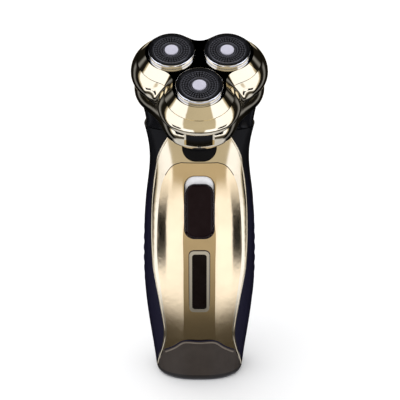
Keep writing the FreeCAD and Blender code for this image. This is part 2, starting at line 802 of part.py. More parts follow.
def grip_round(y):
    """One of the two wide rounds whose overlap is the leaf outline of a grip."""
    return Part.makeCylinder(GRIP_ARC, 60, Vector(-30, y, GRIP_MIDDLE), Vector(1, 0, 0))


def make_handle():
    outer = handle_solid(0)
    skin = outer.cut(handle_solid(S.wall.value))
    gold = front_prism(GOLD_EDGE)
    make_front(skin.common(gold))
    leaf = grip_round(GRIP_BACK).common(grip_round(GRIP_FRONT))
    rim = outer.cut(handle_solid(S.grip_depth.value)).common(leaf).cut(gold)
    rear = skin.cut(gold).cut(rim)
    for height in SCREW_HEIGHTS:
        base, along = Vector(0, 12, height), Vector(0, 1, 0)
        rear = rear.cut(Part.makeCylinder(S.screw_shank.value + 0.1, 10, base, along))
        base = Vector(0, screw_seat(height), height)
        rear = rear.cut(Part.makeCylinder(S.screw_head.value + 0.1, 10, base, along))
    shaped("rear_shell", rear)
    for side, low in (("left", -60), ("right", 0)):
        half = Part.makeBox(60, 120, 200, Vector(low, -60, 0))
        shaped(f"{side}_grip", rim.common(half))
    shaped("release_button", button_prism(0, BUTTON_FRONT, BUTTON_BACK))
    spring = coil_spring(2.4, 0.6, BUTTON_BACK, BUTTON_SPRING_END, 2.25)
    across = Placement(Vector(0, 0, BUTTON_HEIGHT / 2), Rotation(Vector(1, 0, 0), -90))
    shaped("release_spring", spring, BUTTON_PLACE.multiply(across))
    make_bottom_cap()


def make_front(front):
    """The gold front of the handle: an outer bezel round the panel, and the chin below it."""
    panel = front_prism(PANEL_EDGE)
    chin = chin_prism()
    slot = rounded_block(
        S.slot_half.value, S.slot_bottom.value, S.slot_top.value, SLOT_CORNER, -40, -10
    )
    window = rounded_block(
        S.window_half.value, S.window_bottom.value, S.window_top.value, WINDOW_CORNER, -40, -10
    )
    shaped("front_bezel", front.cut(panel).cut(button_prism(0.35, -8, 12)))
    plate = front.common(panel)
    shaped("chin_plate", plate.common(chin))
    plate = plate.cut(chin).cut(flat_strip_cutter())
    shaped("front_panel", plate.cut(slot).cut(window))


def make_bottom_cap():
    cap = loft([handle_section(*row, 0) for row in BOTTOM_CAP])
    half = S.socket_width.value / 2
    opening = Part.makeBox(
        2 * half, S.socket_depth.value, 6.0,
        Vector(-half, S.socket_y.value - S.socket_depth.value / 2, -1),
    )
    shaped("bottom_cap", cap.cut(opening))


SCREW_HEIGHTS = (24.0, 98.0)
SCREW_TALL, SCREW_REACH = 1.1, 5.0


def screw_seat(height):
    """How far back the counterbore's floor lies at that height."""
    return 19.4 if height > 60 else 17.3


def make_screws():
    screws = []
    for height in SCREW_HEIGHTS:
        y = screw_seat(height)
        back = Vector(0, 1, 0)
        head = Part.makeCylinder(S.screw_head.value, SCREW_TALL, Vector(0, y, height), back)
        start = Vector(0, y - SCREW_REACH, height)
        shank = Part.makeCylinder(S.screw_shank.value, SCREW_REACH, start, back)
        cross = Part.makeBox(2.8, 0.7, 0.6, Vector(-1.4, y + 0.5, height - 0.3))
        upright = Part.makeBox(0.6, 0.7, 2.8, Vector(-0.3, y + 0.5, height - 1.4))
        screws.append(head.fuse(shank).cut(cross).cut(upright))
    shaped("case_screws", Part.makeCompound(screws))


def make_controls():
    low, high = S.slot_bottom.value + S.button_gap.value, S.button_top.value
    half = S.slot_half.value - S.button_gap.value
    face = rounded_block(half, low, high, PAD_CORNER, -23, -17.6).common(handle_solid(-0.3))
    stem = Part.makeBox(2.4, 2.2, 3.0, Vector(-1.2, -17.7, 89.0))
    shaped("power_button", face.fuse(stem))
    keep("switch_lever", block(3.0, 0.7, 4.0, Vector(-1.5, -15.5, 88.5)))

    plate = rounded_block(8.0, 74.6, 107.4, 3.0, -16.0, -15.8)
    island = rounded_block(half, low, S.slot_top.value - 0.4, PAD_CORNER, -17.2, -15.9)
    plate = plate.fuse(island).cut(Part.makeBox(3.4, 6.0, 9.4, Vector(-1.7, -19, 87.8)))
    shaped("switch_backplate", plate)

    body = block(9.0, 1.5, 16.0, Vector(-4.5, -15.75, 84.0))
    hollow = block(3.8, 1.3, 12.0, Vector(-1.9, -15.9, 86.0))
    keep("slide_switch", cut(body, hollow))

    rim = rounded_block(
        S.window_half.value, S.window_bottom.value, S.window_top.value, WINDOW_CORNER, -23, -10
    )
    lens = rounded_block(
        S.window_half.value - 1.3, S.window_bottom.value + 1.6, S.window_top.value - 1.6, 1.4,
        -23, -10,
    )
    bezel = rim.cut(lens).common(handle_solid(-0.35)).cut(handle_solid(1.9))
    shaped("indicator_bezel", bezel)
    shaped("indicator_lens", lens.common(handle_solid(0.45)).cut(handle_solid(2.1)))


LAMP_LOW, LAMP_GAP, LAMP_TALL, LAMP_HALF = 44.0, 9.0, 2.0, 1.2
CHASSIS_HALF, CHASSIS_LOW, CHASSIS_HIGH, CHASSIS_THICK = 15.0, 13.0, 104.0, 1.4


def make_electrics():
    make_board()
    make_battery()
    make_chassis()
    make_socket()


def make_board():
    board = new_body("circuit_board")
    pad(board, polygon_sketch(
        board, "XZ_Plane", rectangle(S.board_half, S.board_bottom, S.board_top), -S.board_y
    ), S.board_thick)
    # Three charge lamps stand on the board behind the window.
    for i in range(3):
        low = LAMP_LOW + LAMP_GAP * i
        lamp = polygon_sketch(
            board, "XZ_Plane", rectangle(LAMP_HALF, low, low + LAMP_TALL), -S.board_y
        )
        pad(board, lamp, 1.2).Reversed = False
    keep("circuit_board", board)


def make_battery():
    radius, base = S.battery_radius, Vector(0, S.battery_y.value, S.battery_z.value)
    cell = cylinder(radius, S.battery_length, base)
    nub = cylinder(2.6, 1.4, base + Vector(0, 0, S.battery_length.value))
    keep("battery_cell", fuse(cell, nub))
    tab_y = S.battery_y.value - S.battery_radius.value - 1.2
    tabs = []
    for z in (S.battery_z.value - 0.4, S.battery_z.value + S.battery_length.value + 1.4):
        strip = Part.makeBox(4.0, S.battery_radius.value + 4.0, 0.35, Vector(-2, tab_y, z))
        down = Part.makeBox(4.0, 0.35, 5.0, Vector(-2, tab_y, z))
        tabs.append(strip.fuse(down))
    shaped("battery_tabs", Part.makeCompound(tabs))


def make_chassis():
    """The inner plate between board and battery, with a tab that backs the button's spring."""
    chassis = new_body("chassis")
    sheet_outline = rectangle(CHASSIS_HALF, CHASSIS_LOW, CHASSIS_HIGH)
    pad(chassis, polygon_sketch(chassis, "XZ_Plane", sheet_outline, 8.4), CHASSIS_THICK)
    tab = rectangle(4.5, 98.0, 120.0)
    pad(chassis, polygon_sketch(chassis, "XZ_Plane", tab, 7.0), CHASSIS_THICK)
    for x in (-11.5, 9.5):
        rib = polygon_sketch(
            chassis, "XZ_Plane", [(x, 20.0), (x + 2.0, 20.0), (x + 2.0, 95.0), (x, 95.0)], 8.4
        )
        pad(chassis, rib, 14.0).Reversed = True
    keep("chassis", chassis)


def make_socket():
    """The charging inlet's cup, open downwards, with its two pins."""
    half = S.socket_width * 0.5
    front, back = S.socket_y - S.socket_depth * 0.5, S.socket_y + S.socket_depth * 0.5
    socket = new_body("charge_socket")
    pad(socket, polygon_sketch(socket, "XY_Plane", rectangle(half, front, back), 0.5), 10.0)
    opening = rectangle(half - 1.4, front + 1.2, back - 1.2)
    mouth = polygon_sketch(socket, "XY_Plane", opening, 0.5)
    socket.Tip = pocket(socket, mouth, 8.0)
    keep("charge_socket", socket)
    pins = [
        Part.makeCylinder(0.8, 5.5, Vector(x, S.socket_y.value, 3.0)) for x in (-2.6, 2.6)
    ]
    shaped("socket_pins", Part.makeCompound(pins))


# ---------------------------------------------------------------- build and write

for seat_name in SEATS:
    make_rim(seat_name)
    make_cap(seat_name)
    make_disc(seat_name)
    make_cutter(seat_name)
    make_carrier(seat_name)
    make_spring(seat_name)
    make_spindle(seat_name)
make_gears()
make_motor()
make_shaving_unit()
make_head_base()
make_handle()
make_screws()
make_controls()
make_electrics()
doc.recompute()

for item in doc.Objects:
    if "Invalid" in item.State or "Error" in item.State:
        raise RuntimeError(f"{item.Label} failed: {item.State}")
for label, feature in parts.items():
    if feature.Shape.isNull() or not feature.Shape.isValid() or not feature.Shape.Solids:
        raise RuntimeError(f"{label} has no valid solid")

os.makedirs("parts", exist_ok=True)
for label, feature in parts.items():
    feature.Shape.exportStep(f"parts/{label}.step")
    box = feature.Shape.BoundBox
    print(f"{label}: {len(feature.Shape.Solids)} solid(s), {feature.Shape.Volume:.1f} mm3, "
          f"x {box.XMin:.1f}..{box.XMax:.1f} y {box.YMin:.1f}..{box.YMax:.1f} "
          f"z {box.ZMin:.1f}..{box.ZMax:.1f}")
print(len(parts), "parts")
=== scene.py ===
"""Looks of a rotary shaver: three round cutting heads on a gold head and a gold and black handle.

Everything is in metres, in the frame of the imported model: +Z up, the front faces -Y.
"""
import json
import math

import bmesh
import bpy
from mathutils import Matrix, Vector


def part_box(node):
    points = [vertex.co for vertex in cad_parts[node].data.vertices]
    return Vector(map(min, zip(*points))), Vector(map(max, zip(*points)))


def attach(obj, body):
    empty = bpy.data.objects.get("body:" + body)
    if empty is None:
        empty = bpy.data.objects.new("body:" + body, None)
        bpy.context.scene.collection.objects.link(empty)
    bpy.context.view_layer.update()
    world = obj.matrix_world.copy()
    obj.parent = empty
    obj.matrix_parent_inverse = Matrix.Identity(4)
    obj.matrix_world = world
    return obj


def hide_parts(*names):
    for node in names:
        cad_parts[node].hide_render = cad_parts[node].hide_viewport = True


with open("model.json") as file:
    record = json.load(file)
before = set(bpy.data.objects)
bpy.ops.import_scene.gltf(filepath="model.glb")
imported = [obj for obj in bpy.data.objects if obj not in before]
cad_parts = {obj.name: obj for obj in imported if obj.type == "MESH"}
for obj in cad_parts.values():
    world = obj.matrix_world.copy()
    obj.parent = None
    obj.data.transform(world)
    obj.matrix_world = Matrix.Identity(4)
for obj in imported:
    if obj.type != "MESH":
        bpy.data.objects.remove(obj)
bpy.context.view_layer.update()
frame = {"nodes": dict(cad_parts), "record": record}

MM = 0.001
NODES = frame["nodes"]
BODY_OF = {
    node: body for body, nodes in frame["record"]["behaviour"]["bodies"].items() for node in nodes
}
SLOT_OF = {part["node"]: part["material_slot"] for part in frame["record"]["subparts"]}
SEATS = {"front": -90.0, "right": 30.0, "left": 150.0}  # degrees round the head's middle

# ---------------------------------------------------------------- the head's own frame

HEAD_TILT = math.radians(30.0)
HEAD_MIDDLE = (0.0, -15.7 * MM, 159.6 * MM)
HEAD = Matrix.Translation(HEAD_MIDDLE) @ Matrix.Rotation(HEAD_TILT, 4, "X")
SEAT_PITCH = 14.2 * MM


def seat_frame(name):
    """The frame of one cutting head: its middle at rim height, with +Z out of the head."""
    turn = math.radians(SEATS[name])
    middle = Vector((SEAT_PITCH * math.cos(turn), SEAT_PITCH * math.sin(turn), 0.0))
    return HEAD @ Matrix.Translation(middle)


# ---------------------------------------------------------------- materials

COAT_ROUGHNESS = 0.06
PLAIN_GLOSS = 0.5

# Sizes of the blotches, lines and grain in each kind of finish, and the depths of their relief.
PLATE_TONE, PLATE_SHEEN, PLATE_MARKS = 14 * MM, 3 * MM, 9 * MM
PLATE_DEPTH, PLATE_STRENGTH, PLATE_DEEP = 0.012 * MM, 0.25, 0.93
MOULD_TONE, MOULD_SHEEN, MOULD_GRAIN = 5 * MM, 1.2 * MM, 0.25 * MM
MOULD_DEPTH, MOULD_SPREAD, MOULD_LIGHTER, MOULD_LIFT = 0.02 * MM, 0.08, 1.2, 0.002
# Between these heights the handle's dark plastics are painted darker upwards, unevenly, as painted
# shade.
FADE_LOW, FADE_HIGH, FADE_UNEVEN = 84 * MM, 112 * MM, 0.12
BRUSH_SIZE, BRUSH_STRETCH = 2.0 * MM, (1.0, 1.0, 30.0)
BRUSH_DEPTH, BRUSH_STRENGTH, BRUSH_DULL, BRUSH_SPREAD = 0.01 * MM, 0.3, 0.8, 0.15
TRACKS_PER_METRE, TRACK_DEPTH, TRACK_STRENGTH = 260.0, 0.03 * MM, 0.5
# The second number is how dark the turned rings' hollows are painted, as painted shade.
TURNED_GRIME, TURNED_GROOVE_SHADE, TURNED_SPREAD = 1.5 * MM, 0.3, 0.2
TURNED_FAINT, TURNED_FULL = 0.5, 1.2


class Look:
    """A node material, with short ways to add the nodes that the finishes here share."""

    def __init__(self, name, colour, roughness, metallic=0.0, coat=0.0, gloss=PLAIN_GLOSS):
        self.material = bpy.data.materials.new(name)
        self.material.use_nodes = True
        self.tree = self.material.node_tree
        self.shader = self.tree.nodes["Principled BSDF"]
        self.shader.inputs["Base Color"].default_value = (*colour, 1.0)
        self.shader.inputs["Roughness"].default_value = roughness
        self.shader.inputs["Metallic"].default_value = metallic
        self.shader.inputs["Specular IOR Level"].default_value = gloss
        self.shader.inputs["Coat Weight"].default_value = coat
        self.shader.inputs["Coat Roughness"].default_value = COAT_ROUGHNESS
        self.place = self.add("ShaderNodeTexCoord").outputs["Object"]

    def add(self, kind, **settings):
        node = self.tree.nodes.new(kind)
        for key, value in settings.items():
            setattr(node, key, value)
        return node

    def join(self, out, into):
        self.tree.links.new(out, into)

    def noise(self, size, detail=3.0, stretch=(1.0, 1.0, 1.0)):
        """Noise whose blotches are about size metres across."""
        mapping = self.add("ShaderNodeMapping")
        mapping.inputs["Scale"].default_value = stretch
        self.join(self.place, mapping.inputs["Vector"])
        texture = self.add("ShaderNodeTexNoise")
        texture.inputs["Scale"].default_value = 1.0 / size
        texture.inputs["Detail"].default_value = detail
        self.join(mapping.outputs["Vector"], texture.inputs["Vector"])
        return texture.outputs["Fac"]

    def ramp(self, value, stops):
        """Colours or greys along a value, from (position, colour) stops."""
        node = self.add("ShaderNodeValToRGB")
        elements = node.color_ramp.elements
        while len(elements) < len(stops):
            elements.new(0.5)
        for element, (position, colour) in zip(elements, stops):
            element.position = position
            shade = colour if isinstance(colour, tuple) else (colour, colour, colour)
            element.color = (*shade, 1.0)
        self.join(value, node.inputs["Fac"])
        return node.outputs["Color"]

    def span(self, value, low, high):
        """A value from 0..1 taken to low..high."""
        node = self.add("ShaderNodeMapRange")
        node.inputs["To Min"].default_value = low
        node.inputs["To Max"].default_value = high
        self.join(value, node.inputs["Value"])
        return node.outputs["Result"]

    def math(self, operation, first, second=None):
        node = self.add("ShaderNodeMath", operation=operation)
        for socket, value in zip(node.inputs, (first, second)):
            if value is None:
                continue
            if isinstance(value, (int, float)):
                socket.default_value = value
            else:
                self.join(value, socket)
        return node.outputs[0]

    def colour(self, out):
        self.join(out, self.shader.inputs["Base Color"])

    def roughness(self, out):
        self.join(out, self.shader.inputs["Roughness"])

    def bump(self, height, depth, strength=1.0):
        """Relief of about depth metres."""
        node = self.add("ShaderNodeBump")
        node.inputs["Strength"].default_value = strength
        node.inputs["Distance"].default_value = depth
        self.join(height, node.inputs["Height"])
        self.join(node.outputs["Normal"], self.shader.inputs["Normal"])


def plating(name, colour, roughness, spread=0.03):
    """Bright metal plating: slow changes of tone and gloss, and faint handling marks."""
    look = Look(name, colour, roughness, metallic=1.0)
    deep = tuple(c * PLATE_DEEP for c in colour)
    look.colour(look.ramp(look.noise(PLATE_TONE), [(0.35, deep), (0.65, colour)]))
    sheen = look.noise(PLATE_SHEEN, detail=5.0)
    look.roughness(look.span(sheen, roughness, roughness + spread))
    look.bump(look.noise(PLATE_MARKS, detail=2.0), PLATE_DEPTH, PLATE_STRENGTH)
    return look.material


def mould(look, roughness, grain):
    """The surface that all moulded plastics here share: fine grain, and a slightly uneven gloss."""
    sheen = look.noise(MOULD_SHEEN, detail=4.0)
    look.roughness(look.span(sheen, roughness, roughness + MOULD_SPREAD))
    look.bump(look.noise(MOULD_GRAIN, detail=2.0), MOULD_DEPTH, grain)


def plastic(name, colour, roughness, grain=0.25, coat=0.0, gloss=PLAIN_GLOSS):
    """Moulded plastic of one colour, with a slightly uneven tone."""
    look = Look(name, colour, roughness, coat=coat, gloss=gloss)
    light = tuple(min(1.0, c * MOULD_LIGHTER + MOULD_LIFT) for c in colour)
    look.colour(look.ramp(look.noise(MOULD_TONE), [(0.3, colour), (0.75, light)]))
    mould(look, roughness, grain)
    return look.material


def shaded_plastic(name, low_colour, high_colour, roughness, grain, gloss):
    """Dark plastic painted darker towards the top of the handle, between two heights, as painted
    shade.
    """
    look = Look(name, low_colour, roughness, gloss=gloss)
    split = look.add("ShaderNodeSeparateXYZ")
    look.join(look.place, split.inputs["Vector"])
    height = look.add("ShaderNodeMapRange")
    height.inputs["From Min"].default_value = FADE_LOW
    height.inputs["From Max"].default_value = FADE_HIGH
    look.join(split.outputs["Z"], height.inputs["Value"])
    uneven = look.math("MULTIPLY", look.noise(MOULD_TONE), FADE_UNEVEN)
    mixed = look.math("ADD", height.outputs["Result"], uneven)
    look.colour(look.ramp(mixed, [(0.0, low_colour), (1.0, high_colour)]))
    mould(look, roughness, grain)
    return look.material


def brushed(name, colour, roughness):
    """Drawn or ground metal, with fine level lines round it."""
    look = Look(name, colour, roughness, metallic=1.0)
    lines = look.noise(BRUSH_SIZE, detail=4.0, stretch=BRUSH_STRETCH)
    dull = tuple(c * BRUSH_DULL for c in colour)
    look.colour(look.ramp(lines, [(0.35, dull), (0.65, colour)]))
    look.roughness(look.span(lines, roughness, roughness + BRUSH_SPREAD))
    look.bump(lines, BRUSH_DEPTH, BRUSH_STRENGTH)
    return look.material


def board_look(name):
    """A green circuit board with copper tracks under its lacquer."""
    look = Look(name, (0.03, 0.16, 0.07), 0.35, coat=0.3)
    tracks = look.add("ShaderNodeTexBrick")
    tracks.inputs["Scale"].default_value = TRACKS_PER_METRE
    tracks.inputs["Color1"].default_value = (0.02, 0.14, 0.06, 1.0)
    tracks.inputs["Color2"].default_value = (0.03, 0.18, 0.08, 1.0)
    tracks.inputs["Mortar"].default_value = (0.12, 0.30, 0.10, 1.0)
    look.join(look.place, tracks.inputs["Vector"])
    look.colour(tracks.outputs["Color"])
    look.bump(tracks.outputs["Fac"], TRACK_DEPTH, TRACK_STRENGTH)
    return look.material


def seat_place(look, name):
    """The place in one cutting head's own frame, as a socket."""
    inverse = seat_frame(name).inverted()
    mapping = look.add("ShaderNodeMapping")
    mapping.inputs["Location"].default_value = inverse.translation
    mapping.inputs["Rotation"].default_value = inverse.to_euler("XYZ")
    look.join(look.place, mapping.inputs["Vector"])
    return mapping.outputs["Vector"]


def radius_of(look, place):
    """The distance from the head's axis, in metres, as a socket."""
    flat = look.add("ShaderNodeVectorMath", operation="MULTIPLY")
    flat.inputs[1].default_value = (1.0, 1.0, 0.0)
    look.join(place, flat.inputs[0])
    length = look.add("ShaderNodeVectorMath", operation="LENGTH")
    look.join(flat.outputs["Vector"], length.inputs[0])
    return length.outputs["Value"]


def turned(name, seat, colour, roughness, ring, depth, metallic=1.0):
    """Metal turned on a lathe: fine rings about the head's axis, ring metres apart, their hollows
    painted darker as painted shade.
    """
    look = Look(name, colour, roughness, metallic=metallic)
    radius = radius_of(look, seat_place(look, seat))
    wave = look.math("SINE", look.math("MULTIPLY", radius, 2 * math.pi / ring))
    height = look.span(wave, 0.0, 1.0)
    # painted shade: the colour in the rings' hollows
    dark = tuple(c * TURNED_GROOVE_SHADE for c in colour)
    grime = look.noise(TURNED_GRIME, detail=4.0)
    mixed = look.math("MULTIPLY", height, look.span(grime, TURNED_FAINT, TURNED_FULL))
    look.colour(look.ramp(mixed, [(0.1, dark), (0.9, colour)]))
    look.roughness(look.span(grime, roughness, roughness + TURNED_SPREAD))
    look.bump(height, depth)
    return look.material


FOIL = {
    "colour": (0.20, 0.20, 0.23), "roughness": 0.3, "ring": 1.1 * MM, "depth": 0.07 * MM,
    "metallic": 0.72,
}
BLADE = {"colour": (0.55, 0.55, 0.58), "roughness": 0.25, "ring": 0.3 * MM, "depth": 0.02 * MM}


def make_looks():
    """One material for each of the record's slots but the caps', and three more for added pieces.

    After the colour comes the roughness, then a plating's spread of it or a plastic's grain.
    """
    return {
        "gold_upper": plating("gold_upper", (0.88, 0.79, 0.60), 0.05),
        "gold_front": plating("gold_front", (0.86, 0.69, 0.45), 0.10, 0.04),
        "gold_bezel": plating("gold_bezel", (0.84, 0.74, 0.56), 0.12, 0.04),
        "silver": plating("silver", (0.88, 0.88, 0.90), 0.08),
        "window_silver": plating("window_silver", (0.93, 0.87, 0.74), 0.18),
        "steel": brushed("steel", (0.62, 0.62, 0.64), 0.25),
        "nickel": brushed("nickel", (0.68, 0.65, 0.58), 0.28),
        "chin_smoke": plastic("chin_smoke", (0.034, 0.026, 0.021), 0.28, 0.2, gloss=0.35),
        "button_gloss": plastic("button_gloss", (0.006, 0.002, 0.003), 0.07, 0.05, gloss=0.12),
        # chin_edge is lighter than the chin's plastic: a painted highlight along the chin's bevel.
        "chin_edge": plastic("chin_edge", (0.13, 0.105, 0.08), 0.3, 0.2),
        "black_gloss": plastic("black_gloss", (0.004, 0.004, 0.005), 0.08, 0.08, gloss=0.09),
        # These two are painted darker towards the top of the handle, as painted shade.
        "black_satin": shaded_plastic(
            "black_satin", (0.006, 0.005, 0.018), (0.002, 0.002, 0.003), 0.34, 0.35, 0.12
        ),
        "navy_rubber": shaded_plastic(
            "navy_rubber", (0.010, 0.008, 0.045), (0.003, 0.003, 0.008), 0.45, 0.8, 0.15
        ),
        "bottom_dark": plastic("bottom_dark", (0.012, 0.010, 0.009), 0.3, gloss=0.3),
        "silver_paint": plastic("silver_paint", (0.75, 0.75, 0.77), 0.3, 0.15),
        "lens_dark": plastic("lens_dark", (0.003, 0.001, 0.001), 0.06, 0.03, gloss=0.12),
        "disc": plastic("disc", (0.47, 0.46, 0.54), 0.5, 0.5, gloss=0.3),
        "white_pom": plastic("white_pom", (0.75, 0.75, 0.71), 0.4, 0.4),
        "grey_plastic": plastic("grey_plastic", (0.18, 0.19, 0.21), 0.45, 0.5),
        "battery_blue": plastic("battery_blue", (0.03, 0.10, 0.33), 0.28, 0.1, coat=0.5),
        "board_green": board_look("board_green"),
    }


def paint(piece, material):
    piece.data.materials.clear()
    piece.data.materials.append(material)


def paint_nodes(looks):
    """Every CAD node gets its slot's material, and each cutting head metal turned on its axis."""
    for node, piece in NODES.items():
        slot = SLOT_OF[node]
        if slot in looks:
            paint(piece, looks[slot])
    for seat in SEATS:
        paint(NODES[f"slotted_cap_{seat}"], turned(f"cap_foil_{seat}", seat, **FOIL))
        paint(NODES[f"rotary_cutter_{seat}"], turned(f"cutter_steel_{seat}", seat, **BLADE))


# ---------------------------------------------------------------- shapes

# The handle's sections, as (height, half width, front, back) in millimetres.
HANDLE_ROWS = [
    (3.2, 21.5, -17.9, 17.0),
    (12.0, 22.5, -18.5, 17.8),
    (30.0, 24.9, -19.9, 19.2),
    (55.0, 26.6, -20.6, 20.3),
    (80.0, 25.9, -20.3, 20.9),
    (98.0, 24.2, -19.2, 21.2),
    (111.0, 23.1, -17.7, 21.2),
    (119.0, 23.8, -15.7, 20.9),
    (126.0, 25.4, -13.2, 20.4),
]
ROUNDING = 2.5  # the power of the superellipse that each section follows
EDGE_LIMIT = 0.999  # keeps points off the section's very edge
STRIP_HALF = 7.5  # half width of the panel's middle strip

# The right edges of the gold bezel and of the panel in it, as (x, height) in millimetres.
GOLD_EDGE = [
    (21.4, 2.0), (20.2, 9.0), (18.4, 16.0), (17.1, 24.0), (18.1, 36.0), (20.0, 48.0),
    (21.7, 58.0), (22.6, 70.0), (22.5, 84.0), (21.9, 95.0), (20.6, 106.0), (18.3, 116.0),
    (14.4, 123.4), (12.0, 127.0),
]
PANEL_EDGE = [
    (20.4, 2.0), (19.1, 9.0), (17.1, 16.0), (15.7, 24.0), (16.5, 36.0), (18.0, 48.0),
    (19.2, 58.0), (19.8, 70.0), (19.3, 84.0), (18.3, 95.0), (16.7, 103.0), (14.4, 108.0),
    (11.7, 111.2), (8.3, 112.6),
]

SMOOTH_ANGLE = 35.0  # edges that turn more than this, in degrees, stay crisp
NUDGE = 0.2  # half the reach, in millimetres, over which a normal is measured
OUTLINE_STEP = 0.35
BEAD_STEPS = 8
LATHE_STEPS = 128


def hermite(rows, at, key):
    """A smooth curve through rows, read at a value of their first column."""
    at = min(max(at, rows[0][0]), rows[-1][0])
    i = max(k for k in range(len(rows) - 1) if rows[k][0] <= at)

    def slope(k):
        low, high = rows[max(k - 1, 0)], rows[min(k + 1, len(rows) - 1)]
        return (high[key] - low[key]) / (high[0] - low[0])

    (x0, x1), (y0, y1) = (rows[i][0], rows[i + 1][0]), (rows[i][key], rows[i + 1][key])
    gap = x1 - x0
    t = (at - x0) / gap
    return (
        y0 * (1 + 2 * t) * (1 - t) ** 2 + slope(i) * gap * t * (1 - t) ** 2
        + y1 * t * t * (3 - 2 * t) + slope(i + 1) * gap * t * t * (t - 1)
    )


def front_point(x, z, proud=0.0, flat=False):
    """A point on the handle's front, from millimetres to metres.

    With flat, the middle strip of the panel has no crown.
    """
    half = hermite(HANDLE_ROWS, z, 1)
    front = hermite(HANDLE_ROWS, z, 2)
    across = max(abs(x), STRIP_HALF) if flat else abs(x)
    share = 1 - min(across / half, EDGE_LIMIT) ** ROUNDING
    return Vector((x * MM, (front * share ** (1 / ROUNDING) - proud) * MM, z * MM))


def side_point(side, y, z, proud):
    """A point on the handle's flank, where side is -1 for the left and 1 for the right."""
    half = hermite(HANDLE_ROWS, z, 1)
    depth = hermite(HANDLE_ROWS, z, 3) if y > 0 else -hermite(HANDLE_ROWS, z, 2)
    share = 1 - min(abs(y) / depth, EDGE_LIMIT) ** ROUNDING
    return Vector((side * (half * share ** (1 / ROUNDING) + proud) * MM, y * MM, z * MM))


def spline_points(points, step):
    """Points about step apart on a smooth curve through points, all in millimetres."""
    run = [0.0]
    for a, b in zip(points, points[1:]):
        run.append(run[-1] + math.dist(a, b))
    rows = [(d, *p) for d, p in zip(run, points)]
    count = max(2, round(run[-1] / step))
    return [
        tuple(hermite(rows, run[-1] * i / count, key) for key in range(1, len(rows[0])))
        for i in range(count + 1)
    ]


def add_piece(name, points, faces, body, materials, nodes=(), sharp=SMOOTH_ANGLE):
    """A mesh piece that rides on a body and stands for the named CAD nodes, if any."""
    mesh = bpy.data.meshes.new(name)
    mesh.from_pydata([tuple(p) for p in points], [], faces)
    mesh.validate()
    work = bmesh.new()
    work.from_mesh(mesh)
    bmesh.ops.recalc_face_normals(work, faces=work.faces)
    for face in work.faces:
        face.smooth = True
    for edge in work.edges:
        edge.smooth = len(edge.link_faces) == 2 and edge.calc_face_angle() < math.radians(sharp)
    work.to_mesh(mesh)
    work.free()
    piece = bpy.data.objects.new(name, mesh)
    bpy.context.scene.collection.objects.link(piece)
    for material in materials:
        mesh.materials.append(material)
    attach(piece, body)
    if nodes:
        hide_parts(*nodes)
    return piece


def tube_faces(rows, columns, closed=False):
    """Quads over rows of points, each row a loop; closed joins the last row to the first."""
    faces = []
    for i in range(rows if closed else rows - 1):
        for j in range(columns):
            k, m = (i + 1) % rows, (j + 1) % columns
            faces.append((i * columns + j, i * columns + m, k * columns + m, k * columns + j))
    return faces


def sweep(path, outs, profile, closed):
    """Points and faces of a closed profile of (across, out) metres carried along a path."""
    points = []
    count = len(path)
    for i, (spot, out) in enumerate(zip(path, outs)):
        before = path[(i - 1) % count] if closed or i > 0 else spot
        after = path[(i + 1) % count] if closed or i < count - 1 else spot
        along = (after - before).normalized()
        across = along.cross(out).normalized()
        for a, o in profile:
            points.append(spot + across * a + out * o)
    faces = tube_faces(count, len(profile), closed)
    if not closed:
        faces.append(tuple(range(len(profile))))
        faces.append(tuple(range((count - 1) * len(profile), count * len(profile))))
    return points, faces


def bead_profile(half_width, height):
    """A rounded bead as high as height above the surface, and as deep below it, in metres."""
    bead = [(-half_width, -height)]
    for i in range(BEAD_STEPS + 1):
        turn = math.pi * i / BEAD_STEPS
        bead.append((-half_width * math.cos(turn), height * math.sin(turn)))
    bead.append((half_width, -height))
    return bead


def surface_outs(path, surface):
    """A surface's outward normals at each (x, z) of a path."""
    outs = []
    for x, z in path:
        right = surface(x + NUDGE, z) - surface(x - NUDGE, z)
        up = surface(x, z + NUDGE) - surface(x, z - NUDGE)
        outs.append(right.cross(up).normalized())
    return outs


def front_bead(name, path, size, material, flat=False, closed=False):
    """A bead of (half width, height) that follows an (x, z) path over the handle's front."""

    def surface(x, z):
        return front_point(x, z, flat=flat)

    spots = [surface(x, z) for x, z in path]
    outs = surface_outs(path, surface)
    half_width, height = size
    profile = bead_profile(half_width * MM, height * MM)
    points, faces = sweep(spots, outs, profile, closed)
    add_piece(name, points, faces, "handle", [material])


def rounded_outline(half, low, high, corner):
    """An upright rounded rectangle as (x, z) points, in millimetres, from the right side up."""
    points = []
    middles = [(half - corner, high - corner, 0), (-half + corner, high - corner, 90),
               (-half + corner, low + corner, 180), (half - corner, low + corner, 270)]
    turns = max(4, round(math.pi / 2 * corner / OUTLINE_STEP))
    for x, z, start in middles:
        for i in range(turns + 1):
            angle = math.radians(start + 90 * i / turns)
            points.append((x + corner * math.cos(angle), z + corner * math.sin(angle)))
    filled = []
    for a, b in zip(points, points[1:] + points[:1]):
        count = max(1, round(math.dist(a, b) / (2 * OUTLINE_STEP)))
        for k in range(count):
            filled.append((a[0] + (b[0] - a[0]) * k / count, a[1] + (b[1] - a[1]) * k / count))
    return filled


def lathe_points(place, profile):
    """A closed profile of (radius, height) in millimetres turned about a frame's +Z."""
    points = []
    for i in range(LATHE_STEPS):
        turn = 2 * math.pi * i / LATHE_STEPS
        for r, z in profile:
            spot = Vector((r * math.cos(turn) * MM, r * math.sin(turn) * MM, z * MM))
            points.append(place @ spot)
    return points, tube_faces(LATHE_STEPS, len(profile), closed=True)


# ---------------------------------------------------------------- pieces of the handle

